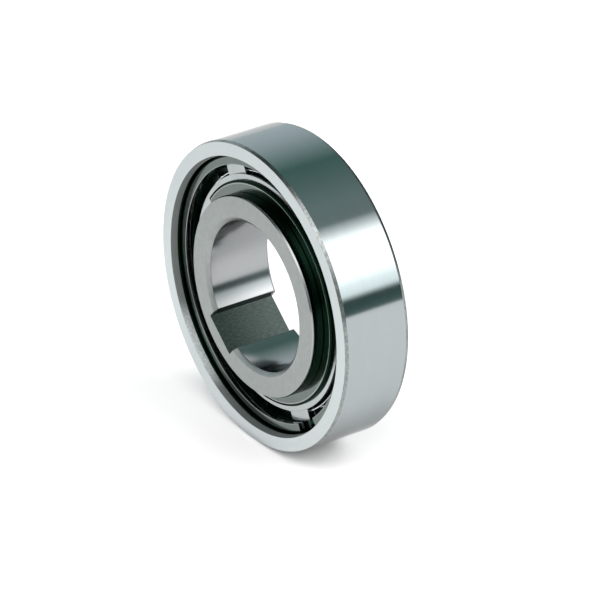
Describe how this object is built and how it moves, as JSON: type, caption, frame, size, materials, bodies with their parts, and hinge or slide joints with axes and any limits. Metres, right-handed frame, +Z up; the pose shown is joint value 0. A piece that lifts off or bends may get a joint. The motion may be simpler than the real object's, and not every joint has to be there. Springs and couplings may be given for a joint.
{
  "type": "sprag clutch",
  "caption": "Bearing-sized one-way sprag clutch: keyed hub and plain outer ring, with sprags, cages and a ribbon spring held by side discs and retaining rings.",
  "frame": {"origin": "centre of the bore, at the middle of the width", "axes": "+Y along the clutch axis from the front face to the rear face, +Z up, with the clutch standing on its rim; the keyway is at the lower left seen from the front"},
  "size_m": [0.072, 0.017, 0.072],
  "materials": {
    "outer_ring_steel": "ground bearing steel",
    "inner_ring_steel": "ground bearing steel, turned faces",
    "disc_steel": "bright stamped steel",
    "retaining_steel": "dark phosphated spring steel",
    "cage_steel": "dark oiled sheet steel",
    "spring_steel": "bright spring strip",
    "sprag_steel": "dark hardened steel, oiled"
  },
  "bodies": {
    "inner_race": {"inner_ring": "inner_ring_steel", "front_hub_ring": "retaining_steel", "rear_hub_ring": "retaining_steel", "front_side_disc": "disc_steel", "rear_side_disc": "disc_steel", "front_cage_plate": "disc_steel", "rear_cage_plate": "disc_steel", "outer_cage": "cage_steel", "inner_cage": "cage_steel", "ribbon_spring": "spring_steel"},
    "outer_race": {"outer_ring": "outer_ring_steel", "front_bore_ring": "retaining_steel", "rear_bore_ring": "retaining_steel"},
    "sprag_01": {"sprag_01": "sprag_steel"},
    "sprag_02": {"sprag_02": "sprag_steel"},
    "sprag_03": {"sprag_03": "sprag_steel"},
    "sprag_04": {"sprag_04": "sprag_steel"},
    "sprag_05": {"sprag_05": "sprag_steel"},
    "sprag_06": {"sprag_06": "sprag_steel"},
    "sprag_07": {"sprag_07": "sprag_steel"},
    "sprag_08": {"sprag_08": "sprag_steel"},
    "sprag_09": {"sprag_09": "sprag_steel"},
    "sprag_10": {"sprag_10": "sprag_steel"},
    "sprag_11": {"sprag_11": "sprag_steel"},
    "sprag_12": {"sprag_12": "sprag_steel"},
    "sprag_13": {"sprag_13": "sprag_steel"},
    "sprag_14": {"sprag_14": "sprag_steel"},
    "sprag_15": {"sprag_15": "sprag_steel"},
    "sprag_16": {"sprag_16": "sprag_steel"},
    "sprag_17": {"sprag_17": "sprag_steel"},
    "sprag_18": {"sprag_18": "sprag_steel"}
  },
  "joints": [
    {"name": "outer_race_spin", "type": "hinge", "parent": "inner_race", "child": "outer_race", "pos_m": [0, 0, 0], "axis": [0, -1, 0], "continuous": true},
    {"name": "sprag_01_tilt", "type": "hinge", "parent": "inner_race", "child": "sprag_01", "pos_m": [0.02199, 0, -0.01781], "axis": [0, -1, 0], "range_deg": [-5, 0], "stiffness_Nm_per_rad": 0.005, "springref_deg": 5.73},
    {"name": "sprag_02_tilt", "type": "hinge", "parent": "inner_race", "child": "sprag_02", "pos_m": [0.02676, 0, -0.00921], "axis": [0, -1, 0], "range_deg": [-5, 0], "stiffness_Nm_per_rad": 0.005, "springref_deg": 5.73},
    {"name": "sprag_03_tilt", "type": "hinge", "parent": "inner_race", "child": "sprag_03", "pos_m": [0.0283, 0, 0.00049], "axis": [0, -1, 0], "range_deg": [-5, 0], "stiffness_Nm_per_rad": 0.005, "springref_deg": 5.73},
    {"name": "sprag_04_tilt", "type": "hinge", "parent": "inner_race", "child": "sprag_04", "pos_m": [0.02642, 0, 0.01014], "axis": [0, -1, 0], "range_deg": [-5, 0], "stiffness_Nm_per_rad": 0.005, "springref_deg": 5.73},
    {"name": "sprag_05_tilt", "type": "hinge", "parent": "inner_race", "child": "sprag_05", "pos_m": [0.02136, 0, 0.01857], "axis": [0, -1, 0], "range_deg": [-5, 0], "stiffness_Nm_per_rad": 0.005, "springref_deg": 5.73},
    {"name": "sprag_06_tilt", "type": "hinge", "parent": "inner_race", "child": "sprag_06", "pos_m": [0.01372, 0, 0.02475], "axis": [0, -1, 0], "range_deg": [-5, 0], "stiffness_Nm_per_rad": 0.005, "springref_deg": 5.73},
    {"name": "sprag_07_tilt", "type": "hinge", "parent": "inner_race", "child": "sprag_07", "pos_m": [0.00443, 0, 0.02795], "axis": [0, -1, 0], "range_deg": [-5, 0], "stiffness_Nm_per_rad": 0.005, "springref_deg": 5.73},
    {"name": "sprag_08_tilt", "type": "hinge", "parent": "inner_race", "child": "sprag_08", "pos_m": [-0.0054, 0, 0.02778], "axis": [0, -1, 0], "range_deg": [-5, 0], "stiffness_Nm_per_rad": 0.005, "springref_deg": 5.73},
    {"name": "sprag_09_tilt", "type": "hinge", "parent": "inner_race", "child": "sprag_09", "pos_m": [-0.01458, 0, 0.02426], "axis": [0, -1, 0], "range_deg": [-5, 0], "stiffness_Nm_per_rad": 0.005, "springref_deg": 5.73},
    {"name": "sprag_10_tilt", "type": "hinge", "parent": "inner_race", "child": "sprag_10", "pos_m": [-0.02199, 0, 0.01781], "axis": [0, -1, 0], "range_deg": [-5, 0], "stiffness_Nm_per_rad": 0.005, "springref_deg": 5.73},
    {"name": "sprag_11_tilt", "type": "hinge", "parent": "inner_race", "child": "sprag_11", "pos_m": [-0.02676, 0, 0.00921], "axis": [0, -1, 0], "range_deg": [-5, 0], "stiffness_Nm_per_rad": 0.005, "springref_deg": 5.73},
    {"name": "sprag_12_tilt", "type": "hinge", "parent": "inner_race", "child": "sprag_12", "pos_m": [-0.0283, 0, -0.00049], "axis": [0, -1, 0], "range_deg": [-5, 0], "stiffness_Nm_per_rad": 0.005, "springref_deg": 5.73},
    {"name": "sprag_13_tilt", "type": "hinge", "parent": "inner_race", "child": "sprag_13", "pos_m": [-0.02642, 0, -0.01014], "axis": [0, -1, 0], "range_deg": [-5, 0], "stiffness_Nm_per_rad": 0.005, "springref_deg": 5.73},
    {"name": "sprag_14_tilt", "type": "hinge", "parent": "inner_race", "child": "sprag_14", "pos_m": [-0.02136, 0, -0.01857], "axis": [0, -1, 0], "range_deg": [-5, 0], "stiffness_Nm_per_rad": 0.005, "springref_deg": 5.73},
    {"name": "sprag_15_tilt", "type": "hinge", "parent": "inner_race", "child": "sprag_15", "pos_m": [-0.01372, 0, -0.02475], "axis": [0, -1, 0], "range_deg": [-5, 0], "stiffness_Nm_per_rad": 0.005, "springref_deg": 5.73},
    {"name": "sprag_16_tilt", "type": "hinge", "parent": "inner_race", "child": "sprag_16", "pos_m": [-0.00443, 0, -0.02795], "axis": [0, -1, 0], "range_deg": [-5, 0], "stiffness_Nm_per_rad": 0.005, "springref_deg": 5.73},
    {"name": "sprag_17_tilt", "type": "hinge", "parent": "inner_race", "child": "sprag_17", "pos_m": [0.0054, 0, -0.02778], "axis": [0, -1, 0], "range_deg": [-5, 0], "stiffness_Nm_per_rad": 0.005, "springref_deg": 5.73},
    {"name": "sprag_18_tilt", "type": "hinge", "parent": "inner_race", "child": "sprag_18", "pos_m": [0.01458, 0, -0.02426], "axis": [0, -1, 0], "range_deg": [-5, 0], "stiffness_Nm_per_rad": 0.005, "springref_deg": 5.73}
  ],
  "couplings": [
    {"joint": "sprag_02_tilt", "follows": "sprag_01_tilt", "ratio": 1},
    {"joint": "sprag_03_tilt", "follows": "sprag_01_tilt", "ratio": 1},
    {"joint": "sprag_04_tilt", "follows": "sprag_01_tilt", "ratio": 1},
    {"joint": "sprag_05_tilt", "follows": "sprag_01_tilt", "ratio": 1},
    {"joint": "sprag_06_tilt", "follows": "sprag_01_tilt", "ratio": 1},
    {"joint": "sprag_07_tilt", "follows": "sprag_01_tilt", "ratio": 1},
    {"joint": "sprag_08_tilt", "follows": "sprag_01_tilt", "ratio": 1},
    {"joint": "sprag_09_tilt", "follows": "sprag_01_tilt", "ratio": 1},
    {"joint": "sprag_10_tilt", "follows": "sprag_01_tilt", "ratio": 1},
    {"joint": "sprag_11_tilt", "follows": "sprag_01_tilt", "ratio": 1},
    {"joint": "sprag_12_tilt", "follows": "sprag_01_tilt", "ratio": 1},
    {"joint": "sprag_13_tilt", "follows": "sprag_01_tilt", "ratio": 1},
    {"joint": "sprag_14_tilt", "follows": "sprag_01_tilt", "ratio": 1},
    {"joint": "sprag_15_tilt", "follows": "sprag_01_tilt", "ratio": 1},
    {"joint": "sprag_16_tilt", "follows": "sprag_01_tilt", "ratio": 1},
    {"joint": "sprag_17_tilt", "follows": "sprag_01_tilt", "ratio": 1},
    {"joint": "sprag_18_tilt", "follows": "sprag_01_tilt", "ratio": 1}
  ]
}
